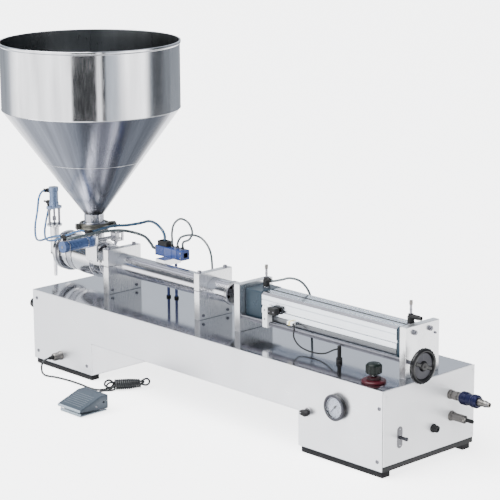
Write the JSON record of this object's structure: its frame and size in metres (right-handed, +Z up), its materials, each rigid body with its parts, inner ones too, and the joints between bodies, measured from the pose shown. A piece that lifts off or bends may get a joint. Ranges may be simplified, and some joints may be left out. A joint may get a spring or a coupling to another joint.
{
  "type": "piston liquid filler",
  "caption": "Bench-top filler: a bridge-shaped steel housing with a product cylinder driven by an air cylinder, a valve under a conical hopper, a hanging nozzle and a foot switch.",
  "frame": {"origin": "centre of the footprint at floor level, leaving out the free foot-switch cord", "axes": "+X along the machine towards the handwheel, +Y from the control side to the back, +Z up"},
  "size_m": [1.651, 0.6486, 0.9116],
  "materials": {
    "housing_steel": "lightly brushed stainless sheet",
    "plate_steel": "ground stainless plate",
    "polished_steel": "mirror-polished stainless",
    "turned_steel": "turned stainless",
    "piston_seal": "matt black piston seal",
    "rail_rubber": "matt black rubber",
    "cap_blue_black": "satin blue-black paint",
    "anodised_tube": "satin anodised",
    "small_cylinder_blue": "satin blue-grey paint",
    "manifold_blue": "gloss blue moulding",
    "hose_blue": "translucent blue tubing",
    "hose_teal": "dark teal tubing",
    "hose_grey": "grey tubing",
    "sensor_black": "matt black cable and gland",
    "stroke_white": "satin white plastic",
    "black_plastic": "gloss black plastic",
    "estop_red": "satin red plastic",
    "estop_mushroom": "satin black-green plastic",
    "nickel_fitting": "nickel-plated fitting",
    "sleeve_navy": "navy anodised sleeve",
    "pedal_blue_grey": "hammered blue-grey paint",
    "cord_rubber": "matt black flexible cord"
  },
  "bodies": {
    "frame": {"housing_shell": "housing_steel", "end_cover": "housing_steel", "clamp_1_lower": "plate_steel", "clamp_1_upper": "plate_steel", "clamp_2_lower": "plate_steel", "clamp_2_upper": "plate_steel", "cylinder_plate": "plate_steel", "end_plate": "plate_steel", "product_barrel": "polished_steel", "valve_body": "polished_steel", "outlet_pipe": "polished_steel", "hopper": "polished_steel", "neck_clamp": "turned_steel", "rail_front_right": "rail_rubber", "rail_rear_right": "rail_rubber", "rail_front_left": "rail_rubber", "rail_rear_left": "rail_rubber", "air_front_cap": "cap_blue_black", "air_rear_cap": "cap_blue_black", "gauge_case": "cap_blue_black", "air_barrel": "anodised_tube", "actuator_cylinder": "small_cylinder_blue", "nozzle_cylinder": "small_cylinder_blue", "valve_manifold": "manifold_blue", "hose_nozzle_upper": "hose_blue", "hose_nozzle_lower": "hose_blue", "hose_actuator_back": "hose_teal", "hose_actuator_front": "hose_grey", "hose_loop_tall": "hose_grey", "hose_loop_low": "hose_grey", "hose_cylinder_front": "hose_grey", "sensor_cable": "sensor_black", "fuse_holder": "black_plastic", "left_end_plug": "black_plastic", "estop_base": "estop_red", "inlet_body": "nickel_fitting", "side_fitting": "nickel_fitting", "cord_connector": "nickel_fitting", "pedal_base": "pedal_blue_grey", "cord_run_machine": "cord_rubber", "cord_run_pedal": "cord_rubber", "cord_hank": "cord_rubber"},
    "piston": {"product_piston": "piston_seal", "piston_rod": "turned_steel"},
    "rotor": {"valve_rotor": "turned_steel"},
    "actuator": {"actuator_rod": "turned_steel"},
    "plunger": {"nozzle_plunger": "turned_steel"},
    "screw": {"lead_screw": "turned_steel", "handwheel": "black_plastic"},
    "stop": {"stroke_block": "stroke_white"},
    "stop_button_stem": {"estop_stem": "black_plastic"},
    "stop_button_head": {"estop_head": "estop_mushroom"},
    "needle": {"gauge_needle": "black_plastic"},
    "toggle": {"toggle_lever": "turned_steel"},
    "selector": {"selector_knob": "black_plastic"},
    "sleeve": {"inlet_sleeve": "sleeve_navy"},
    "spindle_front": {"flow_spindle_front": "turned_steel"},
    "spindle_rear": {"flow_spindle_rear": "turned_steel"},
    "wing": {"wing_nut": "turned_steel"},
    "treadle": {"pedal_treadle": "pedal_blue_grey"}
  },
  "joints": [
    {"name": "piston_stroke", "type": "slide", "parent": "frame", "child": "piston", "axis": [1, 0, 0], "range_m": [0, 0.35]},
    {"name": "valve_turn", "type": "hinge", "parent": "frame", "child": "rotor", "pos_m": [-0.5108, 0.07165, 0.295], "axis": [1, 0, 0], "range_deg": [0, 60]},
    {"name": "valve_actuator_stroke", "type": "slide", "parent": "frame", "child": "actuator", "axis": [0, -1, 0], "range_m": [0, 0.0685]},
    {"name": "nozzle_lift", "type": "slide", "parent": "frame", "child": "plunger", "axis": [0, 0, 1], "range_m": [0, 0.02]},
    {"name": "handwheel_turn", "type": "hinge", "parent": "frame", "child": "screw", "pos_m": [0.4012, 0.02565, 0.257], "axis": [1, 0, 0], "range_deg": [-6120, 1350]},
    {"name": "stroke_stop_travel", "type": "slide", "parent": "frame", "child": "stop", "axis": [1, 0, 0], "range_m": [-0.0685, 0.0155]},
    {"name": "stop_button_press", "type": "slide", "parent": "frame", "child": "stop_button_stem", "axis": [0, 0, -1], "range_m": [0, 0.005]},
    {"name": "stop_button_release", "type": "hinge", "parent": "stop_button_stem", "child": "stop_button_head", "pos_m": [0.6262, -0.05135, 0.251], "axis": [0, 0, 1], "range_deg": [0, 45], "stiffness_Nm_per_rad": 0.05},
    {"name": "gauge_needle_turn", "type": "hinge", "parent": "frame", "child": "needle", "pos_m": [0.5492, -0.10435, 0.146], "axis": [0, 1, 0], "range_deg": [0, 270], "stiffness_Nm_per_rad": 0.002},
    {"name": "power_toggle", "type": "hinge", "parent": "frame", "child": "toggle", "pos_m": [0.7024, -0.04035, 0.093], "axis": [0, 1, 0], "range_deg": [-14, 14]},
    {"name": "mode_selector_turn", "type": "hinge", "parent": "frame", "child": "selector", "pos_m": [0.4482, -0.10235, 0.109], "axis": [0, 1, 0], "range_deg": [-45, 45]},
    {"name": "inlet_sleeve_pull", "type": "slide", "parent": "frame", "child": "sleeve", "axis": [1, 0, 0], "range_m": [0, 0.006], "stiffness_N_per_m": 800, "springref_m": -0.004},
    {"name": "speed_spindle_front_turn", "type": "hinge", "parent": "frame", "child": "spindle_front", "pos_m": [0.1312, 0.07165, 0.376], "axis": [0, 0, 1], "range_deg": [0, 720]},
    {"name": "speed_spindle_rear_turn", "type": "hinge", "parent": "frame", "child": "spindle_rear", "pos_m": [0.6312, 0.07165, 0.376], "axis": [0, 0, 1], "range_deg": [0, 720]},
    {"name": "wing_nut_turn", "type": "hinge", "parent": "frame", "child": "wing", "pos_m": [-0.54871, 0.12331, 0.385], "axis": [-0.9063, 0.4226, 0], "range_deg": [0, 720]},
    {"name": "treadle_press", "type": "hinge", "parent": "frame", "child": "treadle", "pos_m": [-0.2043, -0.24435, 0.028], "axis": [1, 0, 0], "range_deg": [0, 5], "stiffness_Nm_per_rad": 4, "springref_deg": -5.73}
  ],
  "couplings": [
    {"joint": "valve_actuator_stroke", "follows": "valve_turn", "m_per_rad": 0.06494},
    {"joint": "stroke_stop_travel", "follows": "handwheel_turn", "m_per_rad": 0.00063662}
  ]
}
